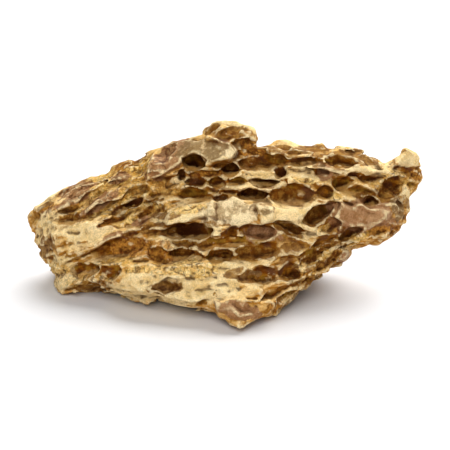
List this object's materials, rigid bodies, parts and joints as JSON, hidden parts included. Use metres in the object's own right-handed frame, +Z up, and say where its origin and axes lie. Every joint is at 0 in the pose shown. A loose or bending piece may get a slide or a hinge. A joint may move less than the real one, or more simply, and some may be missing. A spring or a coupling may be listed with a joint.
{
  "type": "aquarium dragon stone",
  "caption": "Rough slab of weathered clay stone, leaning back, cut all over by lens-shaped pockets with thin ridges between them.",
  "frame": {"origin": "on the floor, under the middle of the stone's box", "axes": "+Z up, +X along the stone's length towards its raised end, and its pocketed front faces -Y"},
  "size_m": [0.2514, 0.1162, 0.1035],
  "materials": {
    "stone": "dry weathered clay stone: cream ledges, ochre and rust clay, dark brown hollows; matt and powdery"
  },
  "bodies": {
    "root": {"dragon_stone": "stone"}
  },
  "joints": []
}
